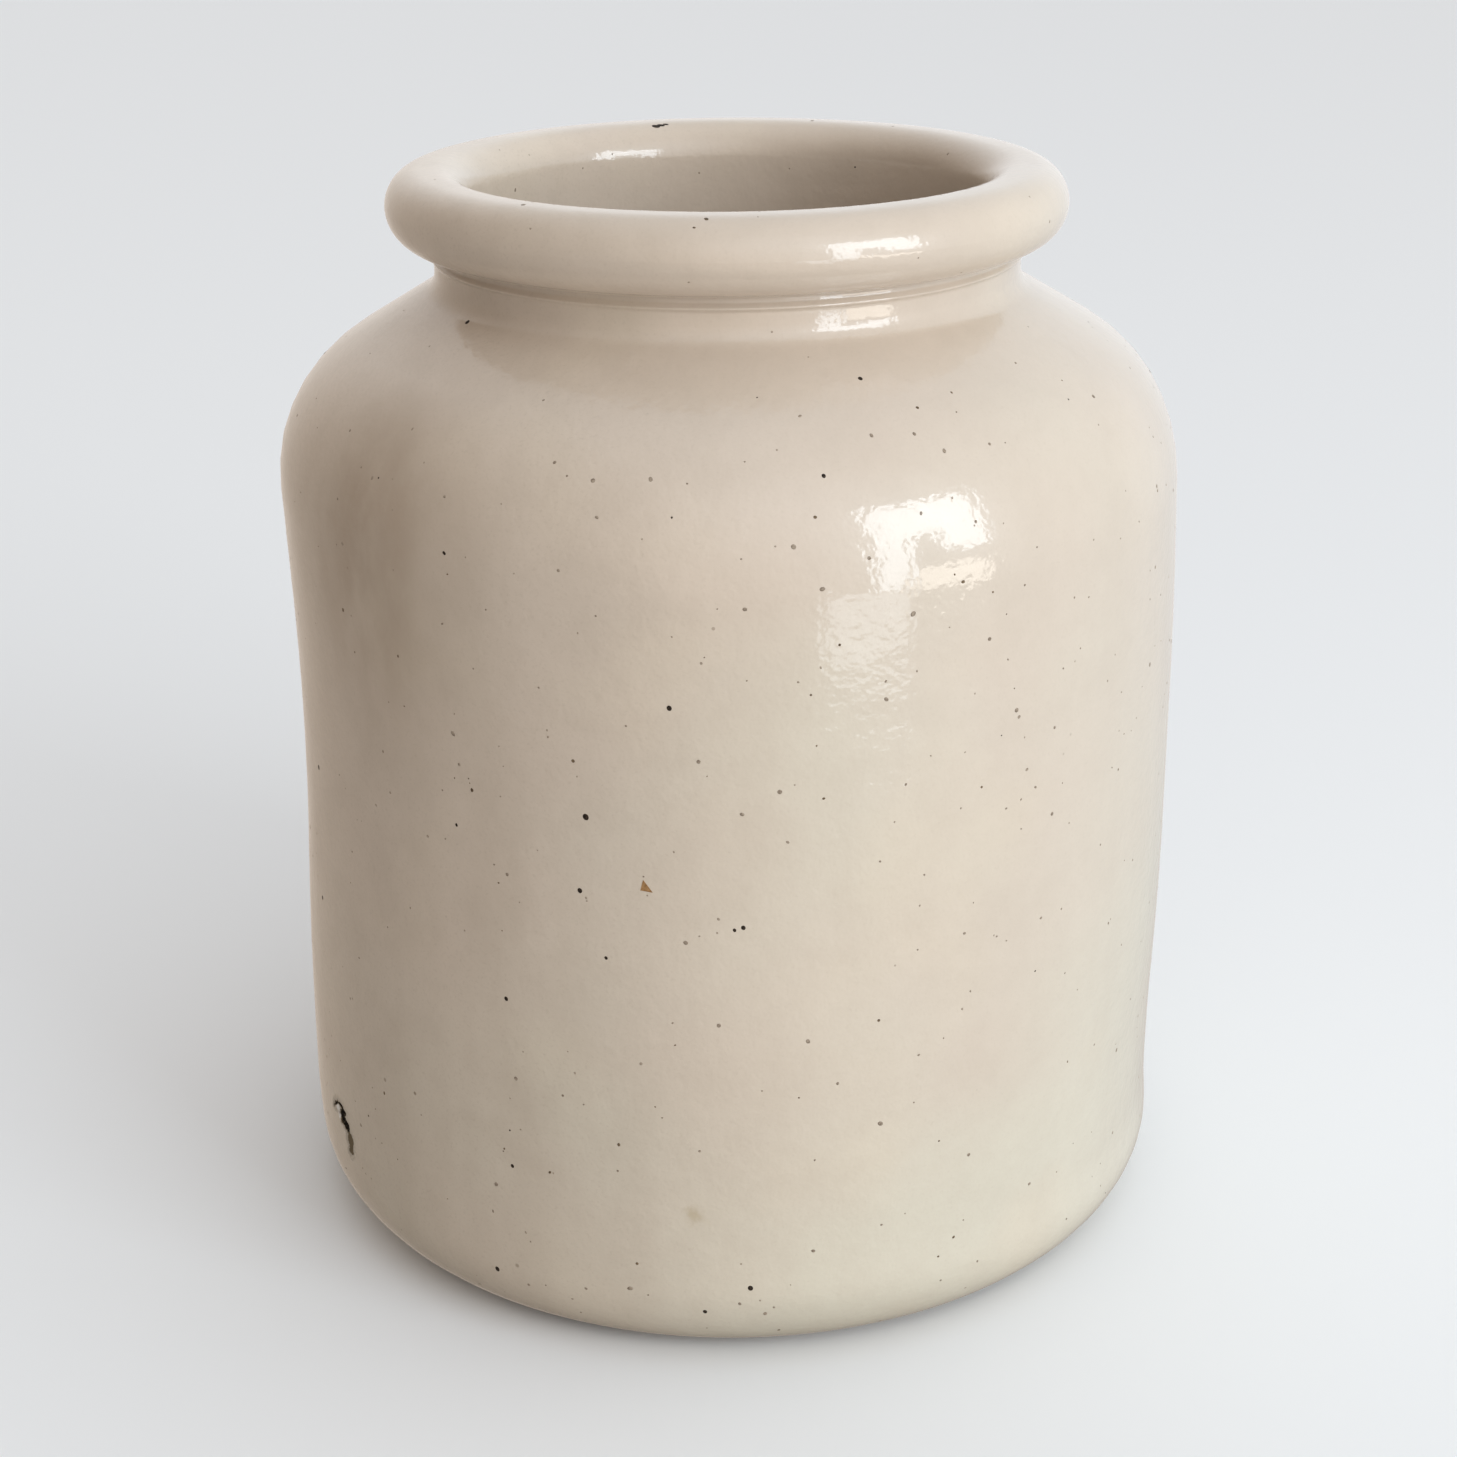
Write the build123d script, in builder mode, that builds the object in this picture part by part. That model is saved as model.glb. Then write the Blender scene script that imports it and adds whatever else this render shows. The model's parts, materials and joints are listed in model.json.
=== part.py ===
from build123d import *
import math
import os

# A wheel-made stoneware crock: a straight, slightly tapered body with a rounded base edge and
# shoulder, a short neck and a heavy rolled rim. It is one piece of fired clay under a fused
# coat of glaze that covers it inside and out and stops just above the foot it stands on.
# Millimetres. +Z is up through the mouth, and the origin is the centre of the foot's plane.

# ---- Driving dimensions: the glazed surface ----
base_r = 100.0            # outer radius of the wall, carried down to the floor
shoulder_r = 98.8         # outer radius of the wall, carried up to the shoulder's corner
shoulder_corner_z = 191.5  # height of that corner before it is rounded
shoulder_slope = 31.0     # rise of the shoulder above the horizontal, degrees
base_edge_round = 18.5
shoulder_round = 35.0
neck_r = 63.3             # radius of the groove under the rim
neck_round = 6.0
rim_centre_r = 64.0       # the rolled rim is a round roll, a little wider than it is high
rim_centre_z = 229.6
rim_width = 18.0
rim_height = 15.6
wall = 8.0                # thickness of the wall, glaze included
floor_thickness = 10.0
inner_base_round = 14.0
throat_round = 4.0        # rounding where the throat opens into the shoulder

# ---- Foot and glaze ----
foot_inner_r = 68.0       # the crock stands on a ring from here out to the base edge
recess_r = 64.0           # flat middle of the underside
recess_depth = 1.2
glaze_thickness = 0.5
glaze_edge_z = 1.5        # the glaze is wiped off below this height

# ---- Derived dimensions ----
slope = math.tan(math.radians(shoulder_slope))
throat_r = rim_centre_r - rim_width / 2
inner_r = base_r - wall
neck_corner_z = shoulder_corner_z + (shoulder_r - neck_r) * slope
inner_drop = wall / math.cos(math.radians(shoulder_slope))
inner_corner_z = shoulder_corner_z + (shoulder_r - inner_r) * slope - inner_drop
throat_corner_z = shoulder_corner_z + (shoulder_r - throat_r) * slope - inner_drop
rim_top_z = rim_centre_z + rim_height / 2
past_the_jar = 10.0       # how far cutting shapes run past the jar

# Corners of the half-section that are rounded, and by how much.
rounded_corners = {
    (base_r, 0): base_edge_round,
    (shoulder_r, shoulder_corner_z): shoulder_round,
    (neck_r, neck_corner_z): neck_round,
    (throat_r, throat_corner_z): throat_round,
    (inner_r, inner_corner_z): shoulder_round - wall,
    (inner_r, floor_thickness): inner_base_round,
}


# ---- Half-section of the glazed jar, on the XZ plane ----
with BuildSketch(Plane.XZ) as half_section:
    with BuildLine():
        Polyline(
            (0, 0),
            (base_r, 0),
            (shoulder_r, shoulder_corner_z),
            (neck_r, neck_corner_z),
            (neck_r, rim_centre_z),
            (throat_r, rim_centre_z),
            (throat_r, throat_corner_z),
            (inner_r, inner_corner_z),
            (inner_r, floor_thickness),
            (0, floor_thickness),
            close=True,
        )
    make_face()
    for corner, radius in rounded_corners.items():
        nearest = half_section.vertices().sort_by_distance(corner)[0]
        fillet(nearest, radius=radius)
    with Locations((rim_centre_r, rim_centre_z)):
        SlotOverall(rim_width, rim_height)

# ---- The bare foot: the part of the section below the edge of the glaze ----
with BuildSketch(Plane.XZ) as foot_section:
    add(half_section.sketch_local)
    Rectangle(
        base_r + past_the_jar,
        glaze_edge_z,
        align=(Align.MIN, Align.MIN),
        mode=Mode.INTERSECT,
    )

# ---- The clay: the section drawn in by the glaze's thickness, with the foot at full size ----
# The half is mirrored first, so that drawing it in leaves it whole at the middle of the floor.
with BuildSketch(Plane.XZ) as clay_section:
    add(half_section.sketch_local)
    mirror(about=Plane.YZ)
    offset(amount=-glaze_thickness)
    Rectangle(
        base_r + past_the_jar,
        rim_top_z + past_the_jar,
        align=(Align.MIN, Align.MIN),
        mode=Mode.INTERSECT,
    )
    add(foot_section.sketch_local)

# ---- Stoneware body: the clay, with a shallow recess turned under the foot ----
with BuildPart() as stoneware_body:
    with BuildSketch(Plane.XZ):
        add(clay_section.sketch_local)
    revolve(axis=Axis.Z)
    with BuildSketch(Plane.XZ):
        with BuildLine():
            Polyline((0, 0), (foot_inner_r, 0), (recess_r, recess_depth), (0, recess_depth), close=True)
        make_face()
    revolve(axis=Axis.Z, mode=Mode.SUBTRACT)
stoneware_body.part.label = "stoneware_body"

# ---- Glaze coat: what lies between the jar's surface and the clay ----
with BuildPart() as glaze_coat:
    with BuildSketch(Plane.XZ):
        add(half_section.sketch_local)
        add(clay_section.sketch_local, mode=Mode.SUBTRACT)
    revolve(axis=Axis.Z)
glaze_coat.part.label = "glaze_coat"

# ---- Write one file for each piece ----
os.makedirs("parts", exist_ok=True)
export_step(stoneware_body.part, "parts/stoneware_body.step")
export_step(glaze_coat.part, "parts/glaze_coat.step")

print(f"crock {2 * base_r:.0f} mm across and {rim_top_z:.1f} mm high")
print(f"throat {2 * throat_r:.0f} mm across, from z {throat_corner_z:.1f} to z {rim_centre_z:.1f}")
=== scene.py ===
# %% [markdown]
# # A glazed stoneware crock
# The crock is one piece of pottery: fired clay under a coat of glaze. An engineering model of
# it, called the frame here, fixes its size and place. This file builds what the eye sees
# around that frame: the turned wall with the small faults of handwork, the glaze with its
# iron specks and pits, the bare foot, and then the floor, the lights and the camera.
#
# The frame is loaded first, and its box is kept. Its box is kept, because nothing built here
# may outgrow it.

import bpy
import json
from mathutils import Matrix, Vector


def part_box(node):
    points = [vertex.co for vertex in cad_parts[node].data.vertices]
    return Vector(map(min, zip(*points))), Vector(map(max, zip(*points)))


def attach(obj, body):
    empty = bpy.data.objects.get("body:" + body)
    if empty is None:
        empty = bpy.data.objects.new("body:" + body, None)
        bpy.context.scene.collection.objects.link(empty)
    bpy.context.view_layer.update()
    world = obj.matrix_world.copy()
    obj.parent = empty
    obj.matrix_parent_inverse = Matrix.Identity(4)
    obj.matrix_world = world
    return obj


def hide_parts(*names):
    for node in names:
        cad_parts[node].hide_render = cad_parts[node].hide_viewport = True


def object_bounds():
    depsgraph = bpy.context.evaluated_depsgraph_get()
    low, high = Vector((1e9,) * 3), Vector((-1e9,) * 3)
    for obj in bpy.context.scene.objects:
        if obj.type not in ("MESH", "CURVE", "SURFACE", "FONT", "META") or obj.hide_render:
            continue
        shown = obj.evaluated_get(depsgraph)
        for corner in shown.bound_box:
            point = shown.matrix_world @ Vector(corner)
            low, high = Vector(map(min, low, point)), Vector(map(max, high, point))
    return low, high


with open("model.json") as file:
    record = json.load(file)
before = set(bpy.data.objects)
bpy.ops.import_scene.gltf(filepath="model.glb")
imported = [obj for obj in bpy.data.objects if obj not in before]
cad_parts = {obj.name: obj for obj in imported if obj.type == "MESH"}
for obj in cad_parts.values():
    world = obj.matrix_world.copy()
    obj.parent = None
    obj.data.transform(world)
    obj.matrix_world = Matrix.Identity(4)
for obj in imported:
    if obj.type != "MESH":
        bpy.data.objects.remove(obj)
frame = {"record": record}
cad_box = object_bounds()
print("frame box, metres:", [tuple(round(c, 4) for c in corner) for corner in cad_box])

# %% [markdown]
# ## Sizes
# Blender works in metres and a potter in millimetres, so lengths are written as a number
# times `MM`. The sizes that the frame knows are read from it: the box gives the height and
# the widest radius, and two of its mounts give the throat and the groove under the rim.

# %% Read the sizes
import json
import math

import bpy
import bmesh
from mathutils import Matrix, Vector
from mathutils.bvhtree import BVHTree
from mathutils.noise import fractal

MM = 0.001
mounts = {mount["name"]: mount for mount in frame["record"]["mounts"]}
rim_top = cad_box[1].z
wall_radius = (cad_box[1].x - cad_box[0].x) / 2
throat_radius = mounts["mouth"]["dims"]["r_mm"] * MM
groove_radius = mounts["tie_groove"]["pos_m"][0]
glaze_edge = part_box("glaze_coat")[0].z
glaze_thickness = rim_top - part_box("stoneware_body")[1].z
print(f"height {rim_top / MM:.1f} mm, wall radius {wall_radius / MM:.1f} mm")
print(f"throat radius {throat_radius / MM:.1f} mm, groove radius {groove_radius / MM:.1f} mm")
print(f"glaze {glaze_thickness / MM:.2f} mm thick, from {glaze_edge / MM:.1f} mm up")

# %% [markdown]
# ## The outline of the jar
# A turned pot is one outline carried round an axis. The outline is written the way a potter
# would draw it on a template: a chain of corners, each with the radius that rounds it. A
# short function walks the chain and gives back points along the straight runs and the arcs.

# %% Turn a chain of corners into a smooth outline
def rounded_path(corners, step, turn_step):
    """Points (radius, height) along straight runs joined by arcs."""
    points = [Vector(corners[0][:2])]

    def walk_to(goal):
        run = goal - points[-1]
        count = max(1, round(run.length / step))
        start = points[-1].copy()
        points.extend(start + run * i / count for i in range(1, count + 1))

    for before, here, after in zip(corners, corners[1:], corners[2:]):
        corner = Vector(here[:2])
        back = (Vector(before[:2]) - corner).normalized()
        ahead = (Vector(after[:2]) - corner).normalized()
        half = back.angle(ahead) / 2
        start = corner + back * here[2] / math.tan(half)
        centre = corner + (back + ahead).normalized() * here[2] / math.sin(half)
        walk_to(start)
        turn = math.pi - 2 * half
        side = 1 if back.x * ahead.y - back.y * ahead.x < 0 else -1
        count = max(2, math.ceil(turn / turn_step))
        for i in range(1, count + 1):
            points.append(centre + Matrix.Rotation(side * turn * i / count, 2) @ (start - centre))
    walk_to(Vector(corners[-1][:2]))
    return points


sample_corners = [(0, 0), (20 * MM, 0, 10 * MM), (20 * MM, 20 * MM)]
sample = rounded_path(sample_corners, 2 * MM, math.radians(9))
print("a sample corner with a 10 mm round takes", len(sample), "points")

# %% [markdown]
# The corners below run up the outside from the foot, over the rim and down the inside to the
# middle of the floor. Each is a radius, a height and the radius of its round. The neck carries
# a fine ridge, left by the tool that cut the groove.

# %% The corners of the outline
foot_radius = 70 * MM
shoulder_radius = wall_radius - 1.1 * MM
shoulder_corner = rim_top - 45.9 * MM
shoulder_slope = math.radians(31)
wall_thickness = 8 * MM
floor_height = 10 * MM
roll_round = 7.7 * MM
under_rim = rim_top - 15.6 * MM
rim_radius = throat_radius + 18 * MM
inner_radius = wall_radius - wall_thickness
shoulder_drop = wall_thickness / math.cos(shoulder_slope)


def shoulder_height(radius):
    """Height of the shoulder's straight slope at a radius."""
    return shoulder_corner + (shoulder_radius - radius) * math.tan(shoulder_slope)


jar_corners = [
    (foot_radius, 0, 0),
    (wall_radius, 0, 18.5 * MM),
    (shoulder_radius, shoulder_corner, 35 * MM),
    (groove_radius, shoulder_height(groove_radius), 5 * MM),
    (groove_radius, under_rim - 3.6 * MM, 1 * MM),
    (groove_radius + 0.7 * MM, under_rim - 2.9 * MM, 0.4 * MM),
    (groove_radius - 0.2 * MM, under_rim - 1.8 * MM, 1 * MM),
    (groove_radius - 0.2 * MM, under_rim, 1.2 * MM),
    (rim_radius, under_rim, roll_round),
    (rim_radius, rim_top, roll_round),
    (throat_radius, rim_top, roll_round),
    (throat_radius, shoulder_height(throat_radius) - shoulder_drop, 4 * MM),
    (inner_radius, shoulder_height(inner_radius) - shoulder_drop, 27 * MM),
    (inner_radius, floor_height, 14 * MM),
    (0, floor_height, 0),
]
jar_outline = rounded_path(jar_corners, 2.2 * MM, math.radians(9))
print(len(jar_outline), "points on the glazed surface")

# %% [markdown]
# The glaze is a thin shell of its own, so it needs a second outline where it meets the clay.
# That one is the first drawn in along its normals, with fewer points because it never shows.
# The clay takes the same line and closes it under the foot, where the glaze was wiped off
# before firing and a shallow recess keeps the middle off the table.

# %% Outlines of the glaze shell and of the clay
def drawn_in(points, depth):
    """The outline moved into the material by depth."""
    moved = []
    last = len(points) - 1
    for i, point in enumerate(points):
        along = points[min(i + 1, last)] - points[max(i - 1, 0)]
        moved.append(point + Vector((-along.y, along.x)).normalized() * depth)
    return moved


glazed = [point for point in jar_outline if point.y >= glaze_edge]
contact = rounded_path(jar_corners, 6 * MM, math.radians(15))
contact = drawn_in([point for point in contact if point.y >= glaze_edge], glaze_thickness)
foot = [point for point in jar_outline if point.y < glaze_edge]
recess_height = 1.2 * MM
recess = [Vector((radius * MM, recess_height)) for radius in (0, 32, 64)]
glaze_loop = list(reversed(glazed)) + contact
clay_loop = recess + foot + contact
glaze_loop[-1].x = 0
clay_loop[-1].x = 0
print(len(glaze_loop), "points round the glaze,", len(clay_loop), "round the clay")

# %% [markdown]
# ## A bench for node trees
# Both the shapes and the finishes are node trees. Two small classes keep them readable. The
# first, a `Bench`, holds a tree and adds any node to it in one call: the node's type, its
# settings, and then the values or links of its sockets.

# %% The bench
class Bench:
    """A node tree, with one method that adds any node to it."""

    def __init__(self, tree):
        self.tree = tree

    def add(self, kind, settings=None, sockets=None, output=0):
        made = self.tree.nodes.new(kind)
        for name, value in (settings or {}).items():
            setattr(made, name, value)
        for key, value in (sockets or {}).items():
            target = made.inputs[key] if isinstance(key, int) else self.socket(made.inputs, key)
            if isinstance(value, Wire):
                self.tree.links.new(value.socket, target)
            else:
                target.default_value = value
        if not made.outputs:
            return made
        if isinstance(output, int):
            return Wire(self, made.outputs[output])
        return Wire(self, self.socket(made.outputs, output))

    @staticmethod
    def socket(sockets, key):
        """The socket with that identifier or, failing that, that name."""
        for candidate in sockets:
            if candidate.identifier == key:
                return candidate
        return sockets[key]


print("a bench adds nodes to a tree")

# %% [markdown]
# The second class is a `Wire`, one output of a node. Python's own operators work on it, so that
# `1 - mask * 0.5` adds the Math nodes it stands for and a mask reads like a sum.

# %% The wire
class Wire:
    """One output of a node. Sums on it become Math nodes."""

    def __init__(self, bench, socket):
        self.bench = bench
        self.socket = socket

    def other(self, output):
        """Another output of the same node."""
        return Wire(self.bench, Bench.socket(self.socket.node.outputs, output))

    def math(self, operation, *values):
        sockets = dict(enumerate((self,) + values))
        return self.bench.add("ShaderNodeMath", {"operation": operation}, sockets)

    def __add__(self, value):
        return self.math("ADD", value)

    def __sub__(self, value):
        return self.math("SUBTRACT", value)

    def __rsub__(self, value):
        return self.bench.add("ShaderNodeMath", {"operation": "SUBTRACT"}, {0: value, 1: self})

    def __mul__(self, value):
        return self.math("MULTIPLY", value)

    def __truediv__(self, value):
        return self.math("DIVIDE", value)

    def __rtruediv__(self, value):
        return self.bench.add("ShaderNodeMath", {"operation": "DIVIDE"}, {0: value, 1: self})

    __radd__ = __add__
    __rmul__ = __mul__


print("a wire turns sums into Math nodes")

# %% [markdown]
# Two things are wanted again and again: a smooth step from 0 to 1, which softens the edge of
# any mask, and sums on places and directions, which need a Vector Math node.

# %% A smooth step and vector sums
def smooth(value, low, high):
    """0 below low, 1 above high, and a smooth step between."""
    bench = value.bench
    return bench.add(
        "ShaderNodeMapRange",
        {"interpolation_type": "SMOOTHSTEP"},
        {"Value": value, "From Min": low, "From Max": high},
    )


def vector_math(operation, first, second, output="Vector"):
    """A Vector Math node on two vectors."""
    bench = first.bench
    sockets = {0: first, 1: second}
    return bench.add("ShaderNodeVectorMath", {"operation": operation}, sockets, output)


print("helpers: smooth step, vector sums")

# %% [markdown]
# ## Running a Geometry Nodes tree
# A tree is opened with named inputs, then run once on an empty object. Its inputs are set by
# each socket's identifier, which stays the same when a label changes. The result is copied
# into a plain mesh and the modifier is thrown away, so nothing has to be worked out again.

# %% Open and run a tree
def open_tree(name, inputs, outputs):
    """A Geometry Nodes tree with named inputs and outputs, and a wire for each input."""
    tree = bpy.data.node_groups.new(name, "GeometryNodeTree")
    for label, kind in inputs.items():
        tree.interface.new_socket(label, in_out="INPUT", socket_type=kind)
    for label, kind in outputs.items():
        tree.interface.new_socket(label, in_out="OUTPUT", socket_type=kind)
    bench = Bench(tree)
    entry = tree.nodes.new("NodeGroupInput")
    return bench, {label: Wire(bench, entry.outputs[label]) for label in inputs}


def run_tree(name, tree, values):
    """Runs a tree once and returns its result as a plain mesh object."""
    piece = bpy.data.objects.new(name, bpy.data.meshes.new(name))
    bpy.context.scene.collection.objects.link(piece)
    modifier = piece.modifiers.new("tree", "NODES")
    modifier.node_group = tree
    for item in tree.interface.items_tree:
        if item.in_out == "INPUT" and item.name in values:
            modifier[item.identifier] = values[item.name]
    graph = bpy.context.evaluated_depsgraph_get()
    mesh = bpy.data.meshes.new_from_object(piece.evaluated_get(graph))
    piece.modifiers.remove(modifier)
    piece.data = mesh
    mesh.name = name
    triangles = sum(len(polygon.vertices) - 2 for polygon in mesh.polygons)
    print(f"{name}: {triangles} triangles")
    return piece


print("trees can be opened and run")

# %% [markdown]
# ## The hand of the maker
# No thrown wall is a perfect cylinder. It bows a little to one side, swells and draws in, goes
# out of round as it dries, and keeps faint rings from the fingers. One tree works out that
# offset from a point's place alone, so the glaze and the clay under it move together. The
# foot stays flat and true, because it was trimmed and stands on the floor.

# %% The offset of handwork
bow = 1.0 * MM
bow_length = 195 * MM
bow_middle = 72 * MM
swell = 0.15 * MM
drawn_waist = 0.3 * MM
out_of_round = 0.45 * MM
ring_depth = 0.09 * MM

bench, given = open_tree(
    "handwork",
    {"Position": "NodeSocketVector", "Seed": "NodeSocketFloat"},
    {"Offset": "NodeSocketVector"},
)
place = bench.add("ShaderNodeSeparateXYZ", {}, {0: given["Position"]})
across = place.other("X")
depth = place.other("Y")
height = place.other("Z")
radius = (across * across + depth * depth).math("SQRT").math("MAXIMUM", 1 * MM)
above_foot = smooth(height, 6 * MM, 30 * MM)
off_axis = smooth(radius, 5 * MM, 50 * MM)
below_shoulder = 1 - smooth(height, 175 * MM, 205 * MM)
wave = (height - bow_middle) * (math.tau / bow_length)
sideways = wave.math("SINE") * below_shoulder * bow
drawn = smooth(height, 65 * MM, 110 * MM) * below_shoulder * drawn_waist
breathing = (wave * 2).math("COSINE") * swell - drawn
wide = bench.add(
    "ShaderNodeTexNoise",
    {"noise_dimensions": "4D"},
    {"Vector": given["Position"], "W": given["Seed"], "Scale": 17, "Detail": 1.5},
)
ring_place = bench.add("ShaderNodeCombineXYZ", {}, {0: across * 2, 1: depth * 2, 2: height * 190})
rings = bench.add(
    "ShaderNodeTexNoise",
    {"noise_dimensions": "4D"},
    {"Vector": ring_place, "W": given["Seed"] + 7, "Scale": 1, "Detail": 2},
)
bulge = (wide - 0.5) * (2 * out_of_round) + (rings - 0.5) * (2 * ring_depth) + breathing
push = bulge * off_axis / radius
offset = bench.add(
    "ShaderNodeCombineXYZ",
    {},
    {0: (across * push + sideways) * above_foot, 1: depth * push * above_foot},
)
bench.add("NodeGroupOutput", {}, {"Offset": offset})
handwork = bench.tree
print("handwork tree:", len(handwork.nodes), "nodes")

# %% [markdown]
# ## Turning the pot
# The main tree does what the wheel does. A flat grid has one row of points for each point of
# the outline and one column for each step round the axis. Every point looks up its radius and
# height on the outline, swings round by its column's angle, takes the maker's offset, and
# then the seam and the poles are merged so that the shell is closed.

# %% The wheel
bench, given = open_tree(
    "wheel",
    {
        "Outline": "NodeSocketObject",
        "Outline points": "NodeSocketInt",
        "Steps round": "NodeSocketInt",
        "From angle": "NodeSocketFloat",
        "Sweep": "NodeSocketFloat",
        "Seed": "NodeSocketFloat",
        "Finish": "NodeSocketMaterial",
    },
    {"Geometry": "NodeSocketGeometry"},
)
sheet = bench.add(
    "GeometryNodeMeshGrid",
    {},
    {
        "Size X": 1.0,
        "Size Y": 1.0,
        "Vertices X": given["Steps round"] + 1,
        "Vertices Y": given["Outline points"],
    },
    "Mesh",
)
flat = bench.add("ShaderNodeSeparateXYZ", {}, {0: bench.add("GeometryNodeInputPosition")})
angle = (flat.other("X") + 0.5) * given["Sweep"] + given["From angle"]
row = ((flat.other("Y") + 0.5) * (given["Outline points"] - 1)).math("ROUND")
template = bench.add("GeometryNodeObjectInfo", {}, {"Object": given["Outline"]}, "Geometry")
looked_up = bench.add(
    "GeometryNodeSampleIndex",
    {"data_type": "FLOAT_VECTOR", "domain": "POINT"},
    {"Geometry": template, "Value": bench.add("GeometryNodeInputPosition"), "Index": row},
)
on_line = bench.add("ShaderNodeSeparateXYZ", {}, {0: looked_up})
line_radius = on_line.other("X")
turned = bench.add(
    "ShaderNodeCombineXYZ",
    {},
    {
        0: line_radius * angle.math("COSINE"),
        1: line_radius * angle.math("SINE"),
        2: on_line.other("Z"),
    },
)
pot = bench.add("GeometryNodeSetPosition", {}, {"Geometry": sheet, "Position": turned})
hand = bench.add(
    "GeometryNodeGroup",
    {"node_tree": handwork},
    {"Position": bench.add("GeometryNodeInputPosition"), "Seed": given["Seed"]},
)
pot = bench.add("GeometryNodeSetPosition", {}, {"Geometry": pot, "Offset": hand})
pot = bench.add("GeometryNodeMergeByDistance", {}, {"Geometry": pot, "Distance": 0.001 * MM})
pot = bench.add("GeometryNodeSetShadeSmooth", {}, {"Geometry": pot})
pot = bench.add("GeometryNodeRealizeInstances", {}, {"Geometry": pot})
pot = bench.add("GeometryNodeSetMaterial", {}, {"Geometry": pot, "Material": given["Finish"]})
bench.add("NodeGroupOutput", {}, {"Geometry": pot})
wheel = bench.tree
print("wheel tree:", len(wheel.nodes), "nodes")

# %% [markdown]
# The outline reaches the tree as an object: a chain of points that it looks up by number. The
# chain is made, used and thrown away. A sector of a pot is turned the same way, from an angle
# and through a sweep, which the scar will need.

# %% Turn a pot on the wheel
def template_line(name, outline):
    """The outline as a chain of points that the wheel can look up."""
    mesh = bpy.data.meshes.new(name)
    links = [(i, i + 1) for i in range(len(outline) - 1)]
    mesh.from_pydata([(point.x, 0, point.y) for point in outline], links, [])
    line = bpy.data.objects.new(name, mesh)
    bpy.context.scene.collection.objects.link(line)
    return line


def turn_pot(name, outline, steps_round, finish, start=0.0, sweep=math.tau):
    """A turned surface: a whole pot, or a sector of one from an angle."""
    line = template_line(name + "_line", outline)
    values = {
        "Outline": line,
        "Outline points": len(outline),
        "Steps round": steps_round,
        "From angle": start,
        "Sweep": sweep,
        "Seed": 3.0,
        "Finish": finish,
    }
    piece = run_tree(name, wheel, values)
    bpy.data.objects.remove(line)
    return piece


print("a whole turn takes", round(math.degrees(math.tau)), "degrees")

# %% [markdown]
# A turned shell can come out inside out, because the outline may run either way. Its faces are
# made to agree and to point outwards, and any open edge is counted, since a vessel has none.

# %% Close a shell
def close_faces(piece):
    """Points every face of a closed shell outwards and reports any open edge."""
    shell = bmesh.new()
    shell.from_mesh(piece.data)
    bmesh.ops.recalc_face_normals(shell, faces=shell.faces)
    if shell.calc_volume(signed=True) < 0:
        bmesh.ops.reverse_faces(shell, faces=shell.faces)
    open_edges = sum(1 for edge in shell.edges if not edge.is_manifold)
    print(f"{piece.name}: {shell.calc_volume() / MM**3 / 1000:.0f} cm3, {open_edges} open edges")
    shell.to_mesh(piece.data)
    shell.free()


print("shells are closed and measured with bmesh")

# %% [markdown]
# ## Finishes
# A finish is a material made of nodes, because a flat colour looks like plastic. The helpers
# below start an empty one, read the place of a point on the jar, make noise and round dots
# from that place, and blend two colours by a mask. Noise has a seed, so it never changes.

# %% Helpers for finishes
def new_finish(name):
    """An empty material and its bench."""
    finish = bpy.data.materials.new(name)
    finish.use_nodes = True
    finish.node_tree.nodes.clear()
    return finish, Bench(finish.node_tree)


def object_place(bench, stretch=(1, 1, 1)):
    """Object coordinates, scaled along each axis."""
    coordinates = bench.add("ShaderNodeTexCoord", {}, {}, "Object")
    return vector_math("MULTIPLY", coordinates, stretch)


def noise(bench, place, scale, detail=3, rough=0.5, seed=0.0):
    """Noise between 0 and 1, with its own seed."""
    return bench.add(
        "ShaderNodeTexNoise",
        {"noise_dimensions": "4D"},
        {"Vector": place, "W": seed, "Scale": scale, "Detail": detail, "Roughness": rough},
    )


def blend(factor, first, second):
    """Two colours through a Mix node."""
    return factor.bench.add(
        "ShaderNodeMix",
        {"data_type": "RGBA"},
        {"Factor_Float": factor, "A_Color": first, "B_Color": second},
        "Result_Color",
    )


def dots(bench, place, spacing, size, share, seed):
    """Round dots: one for some of the cells of a Voronoi pattern, of uneven size."""
    cells = bench.add(
        "ShaderNodeTexVoronoi",
        {"voronoi_dimensions": "4D"},
        {"Vector": place, "W": seed, "Scale": 1 / spacing},
        "Distance",
    )
    chance = bench.add("ShaderNodeSeparateColor", {}, {0: cells.other("Color")})
    reach = chance.other("Green") * (size / spacing)
    inside = 1 - smooth(cells / reach, 0.55, 1.0)
    return inside * chance.other("Red").math("LESS_THAN", share)


def finish_with(bench, sockets):
    """A Principled shader with those sockets, joined to the material's output."""
    shader = bench.add("ShaderNodeBsdfPrincipled", {}, sockets)
    bench.add("ShaderNodeOutputMaterial", {}, {"Surface": shader})


print("helpers for finishes ready")

# %% [markdown]
# ## The glaze
# A cream stoneware glaze is never one colour. It leans pink where it lies thin on the clay
# and towards grey-green where it lies thick, which is lower down, and it runs a little in
# firing and leaves soft brown streaks down the wall, most of them on the left. Each of these
# is noise on the object's own coordinates, stretched along the height for the streaks.

# %% The glaze, thin and thick
pink_cream = (0.60, 0.50, 0.405, 1)
green_cream = (0.615, 0.56, 0.45, 1)
yellow_cream = (0.66, 0.56, 0.43, 1)
brown_streak = (0.47, 0.385, 0.30, 1)

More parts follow.
